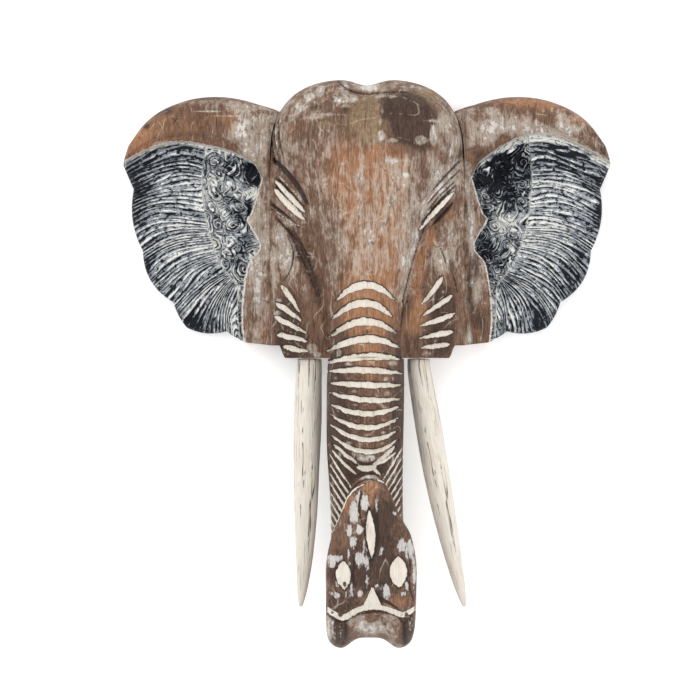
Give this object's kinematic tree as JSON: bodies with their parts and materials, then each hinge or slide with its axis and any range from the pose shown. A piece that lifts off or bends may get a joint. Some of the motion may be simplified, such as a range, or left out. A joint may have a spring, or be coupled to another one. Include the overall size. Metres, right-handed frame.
{
  "type": "elephant mask",
  "caption": "Carved wooden elephant head mask with spread ears, long tusks and a trunk that curls forward at its tip; flat back, hangs on a wall or lies on it.",
  "frame": {"origin": "under the middle of the mask's outline, on the plane of its flat back", "axes": "+Y to the top of the head, +X to the right of a viewer who faces the mask, +Z out of the face"},
  "size_m": [0.431, 0.4934, 0.1239],
  "materials": {
    "head_wood": "stained brown wood with worn whitewash",
    "ear_wood": "wood painted black and brushed with white",
    "tusk_wood": "cream paint with fine dark cracks"
  },
  "bodies": {
    "root": {"head": "head_wood", "ear_left": "ear_wood", "ear_right": "ear_wood", "tusk_left": "tusk_wood", "tusk_right": "tusk_wood"}
  },
  "joints": []
}
